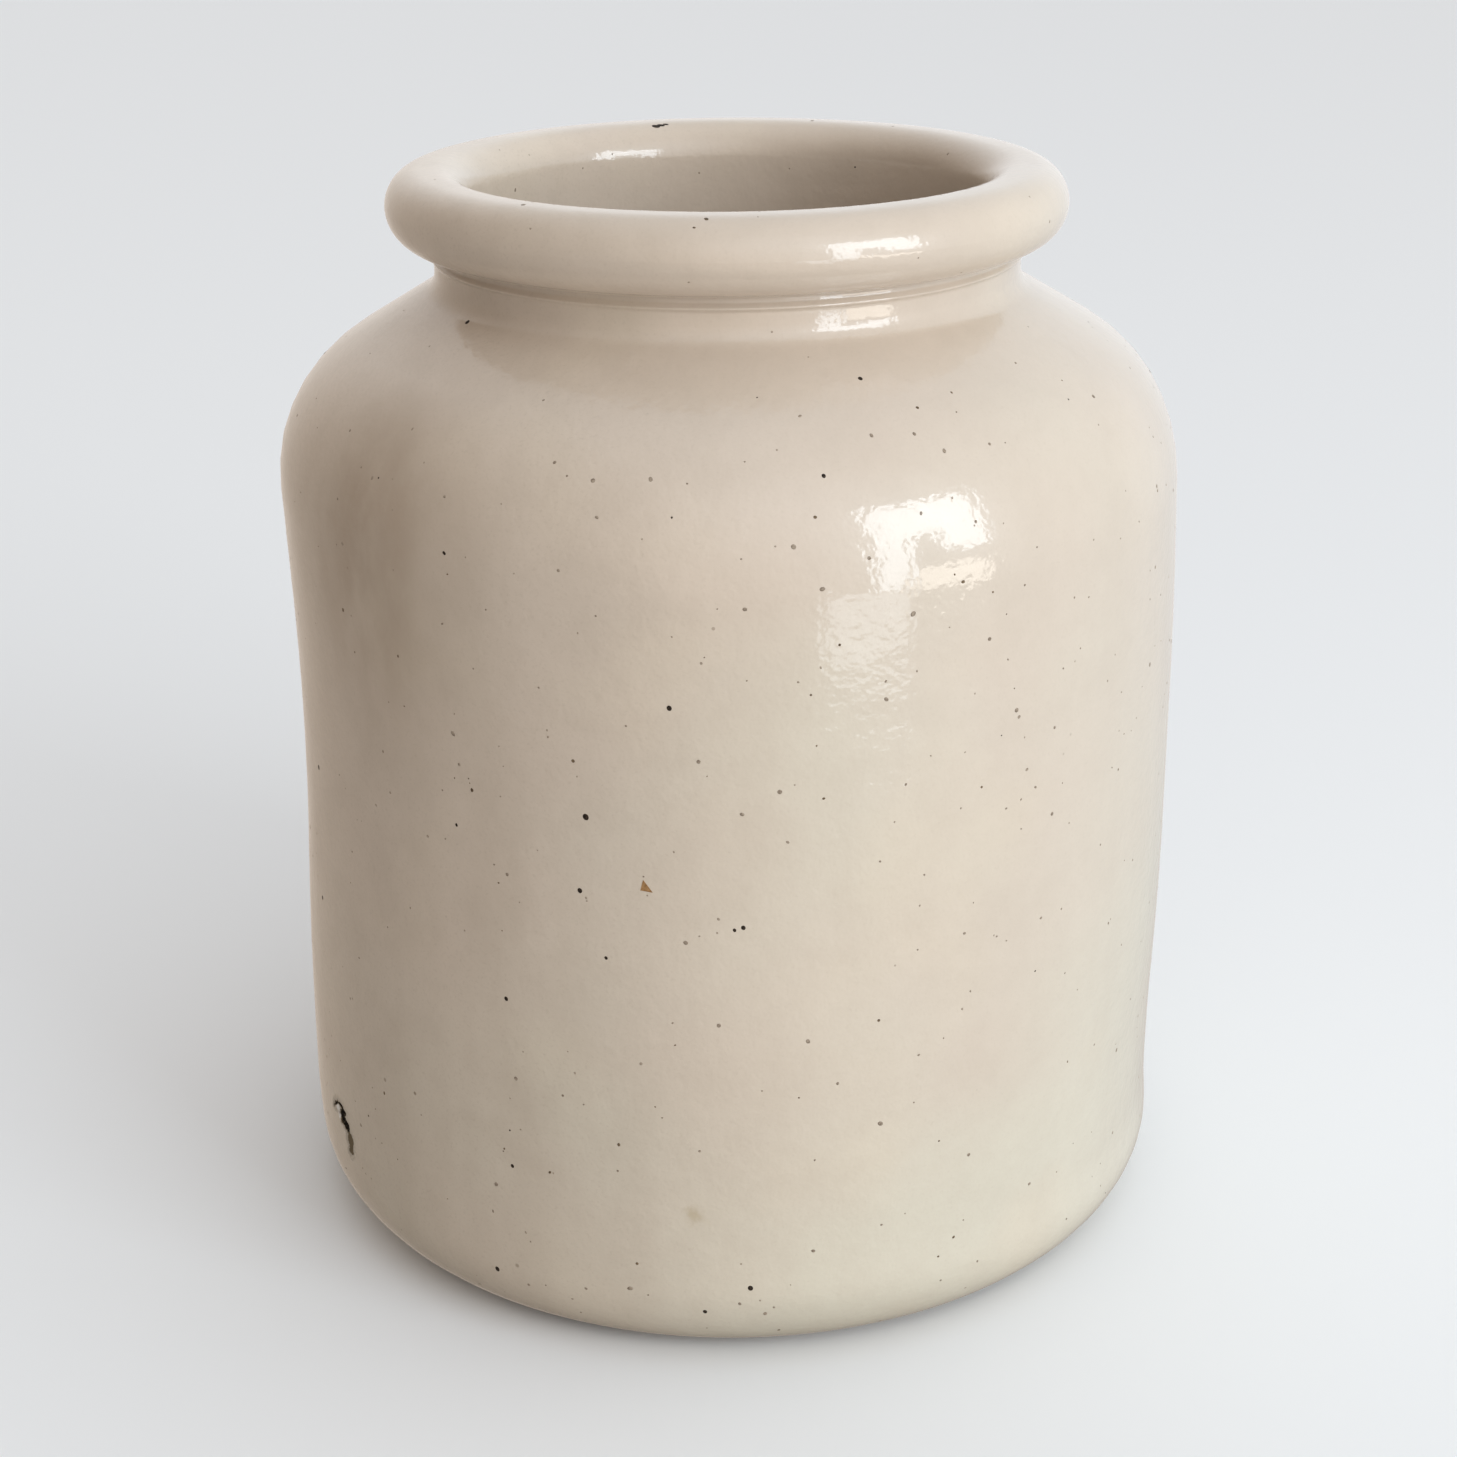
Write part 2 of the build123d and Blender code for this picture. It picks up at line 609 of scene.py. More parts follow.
glaze_finish, bench = new_finish("cream_glaze_finish")
even = object_place(bench)
runs = object_place(bench, (1, 1, 0.16))
apart = bench.add("ShaderNodeSeparateXYZ", {}, {0: even})
thick = noise(bench, even, 11, 2, seed=1.0) * 0.8 - (apart.other("Z") - 75 * MM) * 2.2
thick = thick + apart.other("X") * 1.4
glaze_colour = blend(smooth(thick, 0.2, 0.62), pink_cream, green_cream)
warm = smooth(noise(bench, even, 19, 2, seed=2.0), 0.52, 0.72)
glaze_colour = blend(warm * 0.35, glaze_colour, yellow_cream)
streaks = smooth(noise(bench, runs, 42, 3, seed=3.0), 0.44, 0.8)
left_share = smooth(0 - apart.other("X"), -20 * MM, 60 * MM)
glaze_colour = blend(streaks * (0.14 + left_share * 0.26), glaze_colour, brown_streak)
print("the base of the glaze:", len(glaze_finish.node_tree.nodes), "nodes")

# %% [markdown]
# On the left shoulder the flame in the kiln left a smoky brown patch, taller than it is wide:
# a mask by distance, measured with the height squeezed, and frayed by noise. Faint clouds,
# mottle and a fine grain go over the whole jar, and are stronger on the left.

# %% Smoke, clouds and grain
smoke_brown = (0.40, 0.305, 0.225, 1)
squeeze = 0.7
smoke_place = (-75 * MM, -65 * MM, 172 * squeeze * MM)

squeezed = object_place(bench, (1, 1, squeeze))
smoke_away = vector_math("DISTANCE", squeezed, smoke_place, "Value")
wisps = smooth(noise(bench, object_place(bench, (1, 1, 0.45)), 75, 4, seed=10.0), 0.34, 0.66)
smoke = (1 - smooth(smoke_away, 4 * MM, 42 * MM)) * (0.45 + wisps * 0.55)
glaze_colour = blend(smoke * 0.85, glaze_colour, smoke_brown)
clouds = smooth(noise(bench, even, 75, 3, 0.6, seed=14.0), 0.42, 0.68)
glaze_colour = blend(clouds * (0.1 + left_share * 0.12), glaze_colour, brown_streak)
mottle = noise(bench, even, 240, 4, 0.6, seed=4.0)
glaze_colour = blend((mottle - 0.35) * 0.3, glaze_colour, brown_streak)
grain = smooth(noise(bench, even, 1500, 2, 0.6, seed=8.0), 0.5, 0.8)
glaze_colour = blend(grain * (0.18 + left_share * 0.3), glaze_colour, brown_streak)
print("with smoke and grain:", len(glaze_finish.node_tree.nodes), "nodes")

# %% [markdown]
# A tan stain with a frayed edge sits low on the front, and iron in the clay shows through as
# brown freckles. Two attributes are for the scar made further down: one holds its pale flakes,
# whose near white is partly a painted highlight, and one its scorched clay together with the
# painted shade of the split and the hole. Only the scar's mesh carries them, and on the rest of
# the jar they read as nothing.

# %% Stain, freckles and scar
freckle_brown = (0.22, 0.16, 0.11, 1)
tan_stain = (0.37, 0.28, 0.15, 1)
# Near black: scorched clay and the painted shade inside the scar's split and hole. Near white: the
# scar's pale lip with a painted highlight on it.
scorched_and_shaded = (0.012, 0.009, 0.005, 1)
pale_lip_highlight = (0.97, 0.93, 0.87, 1)
stain_place = (-8.7 * MM, -99.4 * MM, 39 * MM)

away = vector_math("DISTANCE", even, stain_place, "Value") + (mottle - 0.5) * 9 * MM
glaze_colour = blend((1 - smooth(away, 0.2 * MM, 3.2 * MM)) * 0.45, glaze_colour, tan_stain)
freckles = dots(bench, even, 6 * MM, 0.75 * MM, 0.5, 5.0)
glaze_colour = blend(freckles * 0.55, glaze_colour, freckle_brown)
# The scar's pale flakes, partly painted highlight, and its dark split and hole, partly painted
# shade.
bared_and_highlit = bench.add("ShaderNodeAttribute", {"attribute_name": "bared_and_highlit"}, {}, "Fac")
glaze_colour = blend(bared_and_highlit, glaze_colour, pale_lip_highlight)
burnt_and_shaded = bench.add("ShaderNodeAttribute", {"attribute_name": "burnt_and_shaded"}, {}, "Fac")
glaze_colour = blend(burnt_and_shaded, glaze_colour, scorched_and_shaded)
print("with stain and freckles:", len(glaze_finish.node_tree.nodes), "nodes")

# %% [markdown]
# The gloss is the glass itself: low roughness and the refraction of a glassy glaze, under a
# weak, softer coat for the veil of fine scratches. Three bumps, a broad ripple, an orange peel
# and a fine wrinkle, feed one another and break up the edges of a reflection. The coat ignores
# them, which is why the glass below it carries the shine.

# %% Gloss and ripple
def bumped(bench, height, distance, below=None):
    """A bump of that depth, on top of another one where there is one."""
    sockets = {"Strength": 1.0, "Distance": distance, "Height": height}
    if below is not None:
        sockets["Normal"] = below
    return bench.add("ShaderNodeBump", {}, sockets, "Normal")


rippled = bumped(bench, noise(bench, even, 42, 1, seed=6.0), 0.4 * MM)
rippled = bumped(bench, noise(bench, even, 330, 2, seed=7.0), 0.08 * MM, rippled)
rippled = bumped(bench, noise(bench, even, 700, 1, seed=9.0), 0.055 * MM, rippled)
finish_with(
    bench,
    {
        "Base Color": glaze_colour,
        "Roughness": 0.05 + mottle * 0.08,
        "IOR": 1.58,
        "Coat Weight": 0.3 - streaks * 0.1,
        "Coat Roughness": 0.3,
        "Coat IOR": 1.5,
        "Normal": rippled,
    },
)
print("glaze finish:", len(glaze_finish.node_tree.nodes), "nodes")

# %% [markdown]
# ## The clay
# Where the glaze was wiped away the fired body shows: a matt, faintly gritty buff, greyer
# where it met the kiln shelf. Grit is a fine noise in both colour and height.

# %% The clay's finish
buff = (0.40, 0.31, 0.22, 1)
grey_buff = (0.27, 0.22, 0.17, 1)
grit_dark = (0.10, 0.075, 0.055, 1)

clay_finish, bench = new_finish("fired_clay_finish")
even = object_place(bench)
clay_colour = blend(smooth(noise(bench, even, 30, 3, seed=11.0), 0.4, 0.65), buff, grey_buff)
grit = noise(bench, even, 900, 3, 0.7, seed=12.0)
clay_colour = blend(smooth(grit, 0.62, 0.75) * 0.5, clay_colour, grit_dark)
gritty = bumped(bench, grit, 0.08 * MM)
finish_with(bench, {"Base Color": clay_colour, "Roughness": 0.78 + grit * 0.15, "Normal": gritty})
print("clay finish:", len(clay_finish.node_tree.nodes), "nodes")

# %% [markdown]
# ## The two shells
# The glaze stands for the frame's glaze coat and the clay for its stoneware body. Both are
# turned on the same wheel with the same seed, so one sits exactly inside the other. Each rides
# on the frame's one body.

# %% Turn the glaze and the clay
glaze = turn_pot("glaze_shell", glaze_loop, 216, glaze_finish)
close_faces(glaze)
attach(glaze, "root")
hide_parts("glaze_coat")

clay = turn_pot("clay_wall", clay_loop, 160, clay_finish)
close_faces(clay)
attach(clay, "root")
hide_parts("stoneware_body")

# %% [markdown]
# ## Iron specks and pits
# Grains of iron in the clay melt through the glaze as small dark spots, and gas leaves fine
# pits. There are about two thousand, they follow the surface, and they are far smaller than a
# texture of the whole jar could hold, so one tree strews them as geometry: points scattered on
# the glazed face with a fixed seed, a flat lens on each, turned to the surface and sized by
# chance, with many more small ones than large. The rim carries fewer than the wall.

# %% The tree that strews specks
bench, given = open_tree(
    "strew",
    {
        "Surface": "NodeSocketObject",
        "Per square metre": "NodeSocketFloat",
        "Smallest": "NodeSocketFloat",
        "Largest": "NodeSocketFloat",
        "Flatness": "NodeSocketFloat",
        "Seed": "NodeSocketInt",
        "Finish": "NodeSocketMaterial",
    },
    {"Geometry": "NodeSocketGeometry"},
)
ground = bench.add("GeometryNodeObjectInfo", {}, {"Object": given["Surface"]}, "Geometry")
spot_place = bench.add("GeometryNodeInputPosition")
spot_rise = bench.add("ShaderNodeSeparateXYZ", {}, {0: spot_place}, "Z")
fewer = 1 - smooth(spot_rise, 190 * MM, 215 * MM) * 0.7
points = bench.add(
    "GeometryNodeDistributePointsOnFaces",
    {"distribute_method": "RANDOM"},
    {"Mesh": ground, "Density": given["Per square metre"] * fewer, "Seed": given["Seed"]},
    "Points",
)
chance = bench.add(
    "FunctionNodeRandomValue", {"data_type": "FLOAT"}, {"Seed": given["Seed"] + 1}, "Value_001"
)
size = given["Smallest"] + (given["Largest"] - given["Smallest"]) * chance.math("POWER", 3.0)
longer = bench.add(
    "FunctionNodeRandomValue",
    {"data_type": "FLOAT"},
    {"Min_001": 0.7, "Max_001": 1.4, "Seed": given["Seed"] + 2},
    "Value_001",
)
lens_size = bench.add(
    "ShaderNodeCombineXYZ", {}, {0: size * longer, 1: size, 2: size * given["Flatness"]}
)
lens = bench.add(
    "GeometryNodeMeshUVSphere", {}, {"Segments": 9, "Rings": 4, "Radius": 0.5}, "Mesh"
)
spun = bench.add(
    "FunctionNodeRandomValue",
    {"data_type": "FLOAT"},
    {"Min_001": 0.0, "Max_001": math.tau, "Seed": given["Seed"] + 3},
    "Value_001",
)
strewn = bench.add(
    "GeometryNodeInstanceOnPoints",
    {},
    {"Points": points, "Instance": lens, "Rotation": points.other("Rotation"), "Scale": lens_size},
)
turn = bench.add("ShaderNodeCombineXYZ", {}, {2: spun})
strewn = bench.add("GeometryNodeRotateInstances", {}, {"Instances": strewn, "Rotation": turn})
strewn = bench.add("GeometryNodeRealizeInstances", {}, {"Geometry": strewn})
strewn = bench.add("GeometryNodeSetShadeSmooth", {}, {"Geometry": strewn})
strewn = bench.add("GeometryNodeSetMaterial", {}, {"Geometry": strewn, "Material": given["Finish"]})
bench.add("NodeGroupOutput", {}, {"Geometry": strewn})
strew = bench.tree
print("strew tree:", len(strew.nodes), "nodes")

# %% [markdown]
# A speck is nearly black at its heart and brown where the glaze has thinned it. It breaks the
# glass, so it is much duller than the jar. The fine pits are raised lenses of a darker cream:
# that darker cream is painted shade standing in for the hollow of each pinhole.

# %% The finishes of the specks
def speck_finish(name, dark, light, scale, seed):
    """Two tones by noise, nearly matt."""
    finish, bench = new_finish(name)
    tone = smooth(noise(bench, object_place(bench), scale, 2, seed=seed), 0.35, 0.65)
    sockets = {"Base Color": blend(tone, dark, light), "Roughness": 0.45 + tone * 0.2}
    finish_with(bench, sockets | {"Specular IOR Level": 0.15})
    return finish


iron_black = speck_finish(
    "iron_black", (0.012, 0.009, 0.007, 1), (0.045, 0.03, 0.02, 1), 2500, 21.0
)
iron_brown = speck_finish("iron_brown", (0.09, 0.06, 0.035, 1), (0.20, 0.14, 0.085, 1), 1800, 22.0)
pit_shade = speck_finish("pit_shade", (0.22, 0.17, 0.125, 1), (0.36, 0.29, 0.22, 1), 1500, 23.0)
rust_stain = speck_finish("rust_stain", (0.20, 0.10, 0.035, 1), (0.36, 0.20, 0.085, 1), 1200, 24.0)
print("speck finishes:", iron_black.name, iron_brown.name, pit_shade.name, rust_stain.name)

# %% [markdown]
# The glazed face is turned once more on its own, as a skin without the side that meets the
# clay, so that no speck lands where it can't be seen. Each kind has its own number to the
# square metre, its smallest and largest width, its flatness, its seed and its finish.

# %% Strew them over the glazed face
skin = turn_pot("skin", glazed, 216, glaze_finish)
strewing = {
    # The pits' darker cream is painted shade for the hollow of each pinhole.
    "pits": (5600, 0.4 * MM, 1.0 * MM, 0.12, 4, pit_shade),
    "brown_specks": (1500, 0.34 * MM, 0.82 * MM, 0.12, 9, iron_brown),
    "black_specks": (220, 0.38 * MM, 0.88 * MM, 0.15, 17, iron_black),
}
for name, (density, small, large, flatness, seed, finish) in strewing.items():
    values = {
        "Surface": skin,
        "Per square metre": density,
        "Smallest": small,
        "Largest": large,
        "Flatness": flatness,
        "Seed": seed,
        "Finish": finish,
    }
    specks = run_tree(name, strew, values)
    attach(specks, "root")

# %% [markdown]
# ## Marks that a buyer would notice
# A few marks are large enough to know the jar by. Each is placed by its angle from the front,
# positive to the right, and its height, then dropped onto the surface by a ray that runs in
# from outside. Round ones are the same lens as above, made larger and sized one by one.

# %% Find a place on the surface
def surface_tree(piece):
    """A search tree over a piece's faces."""
    mesh = piece.data
    return BVHTree.FromPolygons(
        [vertex.co for vertex in mesh.vertices], [polygon.vertices for polygon in mesh.polygons]
    )


skin_search = surface_tree(skin)


def place_on_jar(angle, height):
    """The surface point and its outward normal at an angle from the front and a height."""
    turn = math.radians(angle)
    away = Vector((math.sin(turn), -math.cos(turn), 0))
    spot, normal, _, _ = skin_search.ray_cast(away * 0.5 + Vector((0, 0, height)), -away)
    return spot, normal if normal.dot(away) > 0 else -normal


waist, _ = place_on_jar(0, 100 * MM)
print(f"the front of the wall is {-waist.y / MM:.1f} mm from the axis at 100 mm up")

# %% [markdown]
# A round mark is a small flattened sphere. A few are gathered in one bmesh, which then becomes
# a piece of the jar.

# %% Make a mark
def lens_at(mesh, spot, normal, width, length, lean, thick):
    """Adds a flat lens, width by length, turned by lean about the surface normal."""
    upright = normal.to_track_quat("Z", "Y").to_matrix().to_4x4()
    size = Matrix.Diagonal((width, length, thick, 1))
    place = Matrix.Translation(spot) @ upright @ Matrix.Rotation(math.radians(lean), 4, "Z") @ size
    bmesh.ops.create_uvsphere(mesh, u_segments=14, v_segments=6, radius=0.5, matrix=place)


def finish_marks(name, mesh, finish, smooth_faces=True):
    """Turns the gathered marks into a piece of the jar."""
    data = bpy.data.meshes.new(name)
    for face in mesh.faces:
        face.smooth = smooth_faces
    mesh.to_mesh(data)
    mesh.free()
    data.materials.append(finish)
    piece = bpy.data.objects.new(name, data)
    bpy.context.scene.collection.objects.link(piece)
    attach(piece, "root")
    print(f"{name}: {len(data.polygons)} faces")


print("marks can be made")

# %% [markdown]
# The sixteen largest iron spots are listed: angle in degrees, height and width in
# millimetres. Each is a little longer than it is wide.

# %% The iron spots
iron_spots = [
    (-17, 126, 1.25), (-18, 110, 1.0), (-15, 96, 0.7), (-28, 83, 0.9), (0, 103.5, 0.7),
    (1, 104, 0.9), (-54, 211.5, 1.1), (-67, 114, 1.0), (-67, 83, 0.9), (-7, 150, 1.0),
    (20, 206.5, 0.9), (11, 193, 0.8), (1.5, 21, 1.1), (-4, 15, 0.9), (-31, 17, 1.1), (-28, 44, 0.8),
]
lens_thickness = 0.12 * MM
marks = bmesh.new()
for angle, height, width in iron_spots:
    spot, normal = place_on_jar(angle, height * MM)
    lens_at(marks, spot, normal, width * MM, width * 1.15 * MM, 20, lens_thickness)
finish_marks("iron_spots", marks, iron_black)

# %% [markdown]
# One iron grain burst through the glaze and left a small rusty triangle on the front. It is a
# flat prism, a hair proud of the glaze and sunk into it, with its faces left flat.

# %% The rusty triangle
marks = bmesh.new()
corners = [(-10.4, 113.7), (-10.75, 111.4), (-9.3, 111.1)]
upper = []
lower = []
for angle, height in corners:
    spot, normal = place_on_jar(angle, height * MM)
    upper.append(marks.verts.new(spot + normal * 0.05 * MM))
    lower.append(marks.verts.new(spot - normal * 0.2 * MM))
marks.faces.new(upper)
marks.faces.new(lower)
for i in range(3):
    j = (i + 1) % 3
    marks.faces.new((upper[i], upper[j], lower[j], lower[i]))
bmesh.ops.recalc_face_normals(marks, faces=marks.faces)
finish_marks("rusty_triangle", marks, rust_stain, smooth_faces=False)


# %% [markdown]
# On the far side of the rim a flake came away and the bare edge went dark. Three lenses that
# overlap make its uneven shape, dropped onto the rim from above.

# %% The nick in the rim
def place_on_rim(angle, radius):
    """The surface point and normal straight below a place above the rim."""
    turn = math.radians(angle)
    above = Vector((math.sin(turn) * radius, -math.cos(turn) * radius, 0.5))
    spot, normal, _, _ = skin_search.ray_cast(above, Vector((0, 0, -1)))
    return spot, normal if normal.z > 0 else -normal


marks = bmesh.new()
nick = [(-164.0, 59.6, 1.3, 2.0), (-165.2, 59.9, 1.0, 1.9), (-166.4, 60.2, 0.7, 1.4)]
for angle, radius, width, length in nick:
    spot, normal = place_on_rim(angle, radius * MM)
    lens_at(marks, spot, normal, width * MM, length * MM, 90 - angle, lens_thickness)
finish_marks("rim_nick", marks, iron_black)

# %% [markdown]
# ## The scar
# Low on the left the wall cracked before the glaze went on, and the glaze drew back from it.
# It is a hooked split about a centimetre long with a hole near its top, a raised, rounded lip
# beside it and a few pale flakes. Neither split nor hole is cut: their black is scorched clay with
# the shade inside them painted on, and the flakes' near white is partly a painted highlight where
# the lip catches the light. The split is drawn as three chains of points, each an angle in
# degrees, a height in millimetres and half a width in millimetres.

# %% The lines of the scar
hook = [
    (-65.3, 32.6, 0.3), (-64.3, 33.9, 0.35), (-63.1, 34.7, 0.4),
    (-61.9, 34.7, 0.55), (-61.4, 33.7, 0.9),
]
hole = [(-62.3, 32.6, 1.0), (-61.8, 32.2, 1.5), (-61.2, 31.6, 1.5), (-60.5, 31.0, 1.1)]
split = [
    (-60.5, 31.0, 1.1), (-60.2, 29.8, 1.0), (-59.8, 28.4, 1.5),
    (-59.7, 27.1, 1.4), (-59.9, 25.0, 0.8),
]
scar_lines = {"hook": (hook, 0.9), "hole": (hole, 1.0), "split": (split, 0.64)}
# Pale flakes: angle, height and reach. Their near white is partly a painted highlight on the lip.
pale_highlight_spots = [(-63.6, 33.1, 1.1), (-63.4, 31.3, 1.1), (-61.6, 28.8, 0.6)]
print("the scar has", len(scar_lines), "lines and", len(pale_highlight_spots), "pale flakes")

# %% [markdown]
# The wheel turns a small sector of the jar again, with steps of about a fifth of a millimetre,
# fine enough to model the scar in it. Only the outside of the wall is kept.

# %% Turn the sector
scar_turn = (-69.0, -56.0)
scar_rise = (21 * MM, 39 * MM)

fine = rounded_path(jar_corners, 0.2 * MM, math.radians(0.6))
lowest, highest = scar_rise
fine = [point for point in fine if lowest <= point.y <= highest and point.x > inner_radius]
scar = turn_pot(
    "scar",
    fine,
    110,
    glaze_finish,
    math.radians(scar_turn[0] - 90),
    math.radians(scar_turn[1] - scar_turn[0]),
)

# %% [markdown]
# The wall is unrolled in the mind: a point's angle becomes a length round the jar, so that
# distances to the lines can be measured as on paper. Two functions do the measuring.

# %% Distances on the unrolled wall
degree = math.radians(1) * wall_radius


def distance_to_line(here, line):
    """Distance from a flat point to a chain of points, less the chain's own half width."""
    nearest = 1.0
    for (turn_a, rise_a, half_a), (turn_b, rise_b, half_b) in zip(line, line[1:]):
        start = Vector((turn_a * degree, rise_a * MM))
        run = Vector((turn_b * degree, rise_b * MM)) - start
        share = max(0.0, min(1.0, (here - start).dot(run) / run.length_squared))
        half = (half_a + (half_b - half_a) * share) * MM
        nearest = min(nearest, (here - start - run * share).length - half)
    return nearest


def step_between(value, low, high):
    """0 below low, 1 above high and smooth between."""
    share = max(0.0, min(1.0, (value - low) / (high - low)))
    return share * share * (3 - 2 * share)


print(f"a degree round the wall is {degree / MM:.2f} mm")

# %% [markdown]
# Each point of the sector then moves out by its distance from the lines: most where the lip
# stands, beside the split, and least at the sector's edge, where it sinks into the glaze and
# leaves no step. A little fractal noise frays the lines. How dark a point is, scorched clay and
# painted shade of the split and the hole together, and how pale, the flakes with their partly
# painted highlight, go into the two attributes that the glaze's finish reads.

# %% Press the scar
lip_height = 0.34 * MM
lip_width = 0.55 * MM


def press_scar(mesh):
    """Moves the patch's points into shape and keeps how dark each one is, scorched clay with
    painted shade, and how pale, partly painted highlight.
    """
    burnt_and_shaded = mesh.attributes.new("burnt_and_shaded", "FLOAT", "POINT")
    bared_and_highlit = mesh.attributes.new("bared_and_highlit", "FLOAT", "POINT")
    for vertex in mesh.vertices:
        place = vertex.co.copy()
        away = Vector((place.x, place.y, 0)).normalized()
        turn = math.degrees(math.atan2(place.x, -place.y))
        here = Vector((turn * degree, place.z))
        wobble = fractal(place * 900, 1.0, 2.0, 3) * 0.8 * MM
        darkest_scorch_and_shade = 0.0
        nearest = 1.0
        for line, scorch_and_shade in scar_lines.values():
            gap = distance_to_line(here, line) + wobble
            darkest_scorch_and_shade = max(darkest_scorch_and_shade, (1 - step_between(gap, -0.15 * MM, 0.22 * MM)) * scorch_and_shade)
            nearest = min(nearest, gap)
        stain = (1 - step_between(nearest, 0.1 * MM, 1.8 * MM)) * 0.26
        pale = 0.0
        for spot_turn, spot_rise, reach in pale_highlight_spots:
            gap = (here - Vector((spot_turn * degree, spot_rise * MM))).length
            frayed = gap + wobble * 0.5
            pale = max(pale, 1 - step_between(frayed, reach * 0.5 * MM, reach * 1.3 * MM))
        beside = math.exp(-(((nearest - 0.6 * MM) / lip_width) ** 2))
        left_of = 1.15 - 0.45 * step_between(here.x, -62.5 * degree, -60.0 * degree)
        edge = min(
            (turn - scar_turn[0]) * degree,
            (scar_turn[1] - turn) * degree,
            place.z - scar_rise[0],
            scar_rise[1] - place.z,
        )
        inset = step_between(edge, 0.3 * MM, 2.5 * MM)
        out = beside * lip_height * left_of * inset + (0.09 * inset - 0.05) * MM
        vertex.co = place + away * out
        # Dark is scorched clay with the painted shade of the split and the hole; pale is the
        # flakes, partly a painted highlight.
        burnt_and_shaded.data[vertex.index].value = max(darkest_scorch_and_shade * (1 - pale), stain) * inset
        bared_and_highlit.data[vertex.index].value = pale * inset


press_scar(scar.data)
print("scar pressed into", len(scar.data.vertices), "points")

# %% [markdown]
# Inside the split there is no glaze, only scorched clay in shadow. The split is not cut into the
# wall, so that shadow is painted: the darkest faces of the patch are copied a hair further out as a
# piece of their own, so that they can be matt, brown clay where lighter and near black where
# deepest, and then both the patch and the copy are thickened inwards to close them.

# %% Lay the scorched clay and its painted shade in the split and close the patch
scorched_clay_in_shade, bench = new_finish("scorched_clay_in_shade")
burnt_and_shaded = bench.add("ShaderNodeAttribute", {"attribute_name": "burnt_and_shaded"}, {}, "Fac")
# From the brown of scorched clay to a near black that is painted shade deep in the split.
soot_and_shade = blend(smooth(burnt_and_shaded, 0.55, 0.95), (0.17, 0.13, 0.08, 1), (0.006, 0.004, 0.003, 1))
crumbs = noise(bench, object_place(bench), 1600, 2, seed=25.0)
soot_and_shade = blend(smooth(crumbs, 0.5, 0.7) * 0.35, soot_and_shade, (0.20, 0.155, 0.10, 1))
finish_with(
    bench, {"Base Color": soot_and_shade, "Roughness": 0.75 + crumbs * 0.2, "Specular IOR Level": 0.05}
)


def thicken(mesh, thickness):
    """Closes an open sheet by giving it a thickness."""
    bmesh.ops.solidify(mesh, geom=mesh.faces[:], thickness=thickness)


# A dark sheet over the split and the hole: scorched clay and painted shade.
split_shade_mesh = bmesh.new()
split_shade_mesh.from_mesh(scar.data)
layer = split_shade_mesh.verts.layers.float["burnt_and_shaded"]
light_faces = [
    face for face in split_shade_mesh.faces if sum(v[layer] for v in face.verts) < 0.45 * len(face.verts)
]
bmesh.ops.delete(split_shade_mesh, geom=light_faces, context="FACES")
for vertex in split_shade_mesh.verts:
    vertex.co += Vector((vertex.co.x, vertex.co.y, 0)).normalized() * 0.02 * MM
thicken(split_shade_mesh, 0.1 * MM)
finish_marks("scar_split", split_shade_mesh, scorched_clay_in_shade)

patch_thickness = 0.25 * MM
shell = bmesh.new()
shell.from_mesh(scar.data)
thicken(shell, patch_thickness)
shell.to_mesh(scar.data)
shell.free()
close_faces(scar)
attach(scar, "root")
bpy.data.objects.remove(skin)

# %% [markdown]
# ## The floor
# The floor is plain, pale and matt. To the camera it is nearly white, but the light it throws
# back up at the jar is that of a duller table, or the shadow under the rim would be filled in.
# A Light Path node tells the two apart. Glossy reflections leave the floor out, so that the
# sill and the curtain of the window, which lie lower than the floor, still show in the glaze.

# %% The floor
floor_white = 0.86
table_grey = 0.68
reach = 6.0
floor_mesh = bpy.data.meshes.new("floor")
floor_mesh.from_pydata(
    [(-reach, -reach, 0), (reach, -reach, 0), (reach, reach, 0), (-reach, reach, 0)],
    [],
    [(0, 1, 2, 3)],
)
floor = bpy.data.objects.new("floor", floor_mesh)
bpy.context.scene.collection.objects.link(floor)
floor_finish, bench = new_finish("pale_floor")
seen = bench.add("ShaderNodeBsdfDiffuse", {}, {"Color": (floor_white, floor_white, floor_white, 1)})
bounced = bench.add("ShaderNodeBsdfDiffuse", {}, {"Color": (table_grey, table_grey, table_grey, 1)})
looked_at = bench.add("ShaderNodeLightPath", {}, {}, "Is Camera Ray")
pale = bench.add("ShaderNodeMixShader", {}, {0: looked_at, 1: bounced, 2: seen})
bench.add("ShaderNodeOutputMaterial", {}, {"Surface": pale})
floor_mesh.materials.append(floor_finish)
floor.visible_glossy = False
print(f"floor: {2 * reach:.0f} m wide")

# %% [markdown]
# ## The window
# Daylight comes from a window to the right of the front, with a curtain and a sill below it.
# It is built of panes. Each is given as the part of the room that it fills, seen from the
# jar: from one compass angle to another and from one height angle to another. Its glow stands
# for how bright it looks, so its power follows from its area.

# %% The window
window_distance = 2.0
jar_middle = Vector((0, 0, rim_top * 0.6))


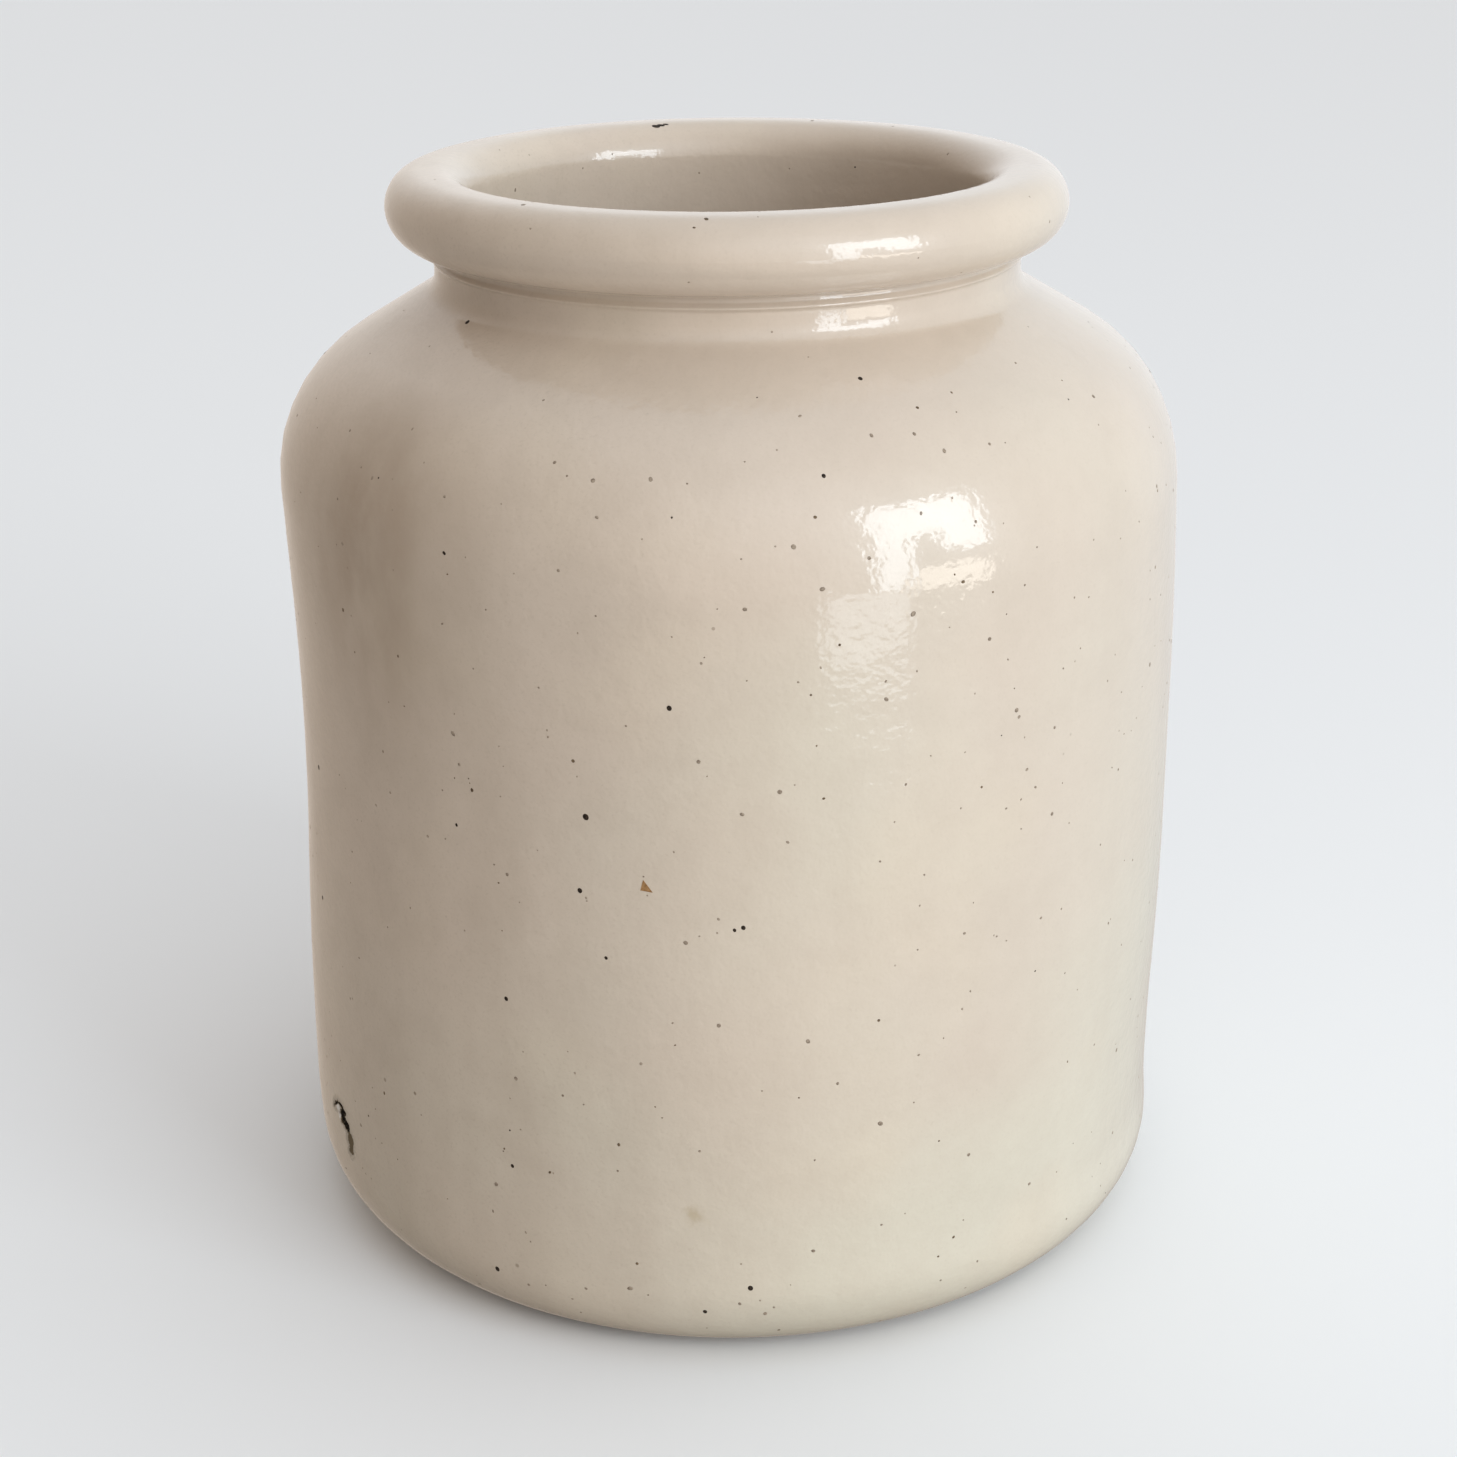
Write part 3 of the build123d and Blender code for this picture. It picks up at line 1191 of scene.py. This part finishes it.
def pane(name, turns, rises, glow, colour):
    """An area light that fills a span of angles, seen from the middle of the jar."""
    turn = math.radians(sum(turns) / 2)
    rise = math.radians(sum(rises) / 2)
    lamp = bpy.data.lights.new(name, "AREA")
    lamp.shape = "RECTANGLE"
    half_width = window_distance * math.tan(math.radians(turns[1] - turns[0]) / 2) * math.cos(rise)
    half_height = window_distance * math.tan(math.radians(rises[1] - rises[0]) / 2)
    lamp.size = 2 * half_width
    lamp.size_y = 2 * half_height
    lamp.energy = glow * math.pi * lamp.size * lamp.size_y
    lamp.color = colour
    holder = bpy.data.objects.new(name, lamp)
    flat = math.cos(rise)
    away = Vector((math.sin(turn) * flat, -math.cos(turn) * flat, math.sin(rise)))
    holder.location = jar_middle + away * window_distance
    holder.rotation_euler = away.to_track_quat("Z", "Y").to_euler()
    bpy.context.scene.collection.objects.link(holder)
    print(f"{name}: {lamp.energy:.1f} W")


daylight = (0.82, 0.92, 1.0)
pane("window_head", (33, 51), (13, 30), 5.6, daylight)
pane("window_corner", (51, 64), (3, 30), 5.6, daylight)
pane("window_side", (33, 42), (-10.5, 13), 5.6, daylight)
pane("curtain", (43, 64), (-13, -4), 4.2, (1.0, 0.94, 0.84))
pane("sill", (22, 43), (-18, -12), 2.4, daylight)

# %% [markdown]
# ## The room
# The rest of the light is soft and comes from the room: bright and cool from the right and
# above, weaker and warmer from the left, with a glow from the front and another from behind.
# A direction is compared with each of those by a dot product, 1 along it and -1 against it.
# The camera itself sees a plain pale surround instead, so that the jar stands out from it.

# %% The room
sky = bpy.data.worlds.new("room")
sky.use_nodes = True
sky.node_tree.nodes.clear()
bench = Bench(sky.node_tree)
direction = bench.add("ShaderNodeTexCoord", {}, {}, "Generated")


def toward(way):
    """How nearly the direction that is looked in agrees with a way."""
    return vector_math("DOT_PRODUCT", direction, way, "Value")


bright_turn = math.radians(105)
bright_side = Vector((math.sin(bright_turn), -math.cos(bright_turn), 0.8)).normalized()
facing = toward(bright_side)
behind = toward((-0.4, 0.92, 0))
before = toward((0.35, -0.93, 0.08))
room_light = 0.145 + smooth(facing, -0.62, 0.8) * 0.855 + smooth(behind, 0.5, 1.0) * 0.4
room_light = room_light + smooth(before, 0.45, 1.0) * 0.92
room_colour = blend(smooth(facing, -0.6, 0.7), (1.0, 0.83, 0.68, 1), (0.91, 0.955, 1.0, 1))
lit_room = bench.add("ShaderNodeBackground", {}, {"Color": room_colour, "Strength": room_light})
pale_grey = (0.86, 0.87, 0.885, 1)
pale_room = bench.add("ShaderNodeBackground", {}, {"Color": pale_grey, "Strength": 1.0})
looked_at = bench.add("ShaderNodeLightPath", {}, {}, "Is Camera Ray")
surround = bench.add("ShaderNodeMixShader", {}, {0: looked_at, 1: lit_room, 2: pale_room})
bench.add("ShaderNodeOutputWorld", {}, {"Surface": surround})
bpy.context.scene.world = sky
bpy.context.scene.view_settings.view_transform = "Standard"
print("room:", len(sky.node_tree.nodes), "nodes")

# %% [markdown]
# ## The camera
# The camera stands about half a metre in front of the jar, a little above its rim, and looks
# down on it with a fairly long lens, so that the mouth shows as a narrow oval.

# %% The camera
stand = Vector((-0.8, -541, 320.8)) * MM
look_down = math.radians(21.56)
roll = -0.01

eye = bpy.data.cameras.new("eye")
eye.sensor_width = 36
eye.lens = 61.77
camera = bpy.data.objects.new("eye", eye)
camera.location = stand
level = Matrix.Rotation(math.radians(90) - look_down, 4, "X")
camera.rotation_euler = (level @ Matrix.Rotation(roll, 4, "Z")).to_euler()
bpy.context.scene.collection.objects.link(camera)
bpy.context.scene.camera = camera
print(f"camera {stand.length:.2f} m from the foot of the axis, lens {eye.lens:.2f} mm")
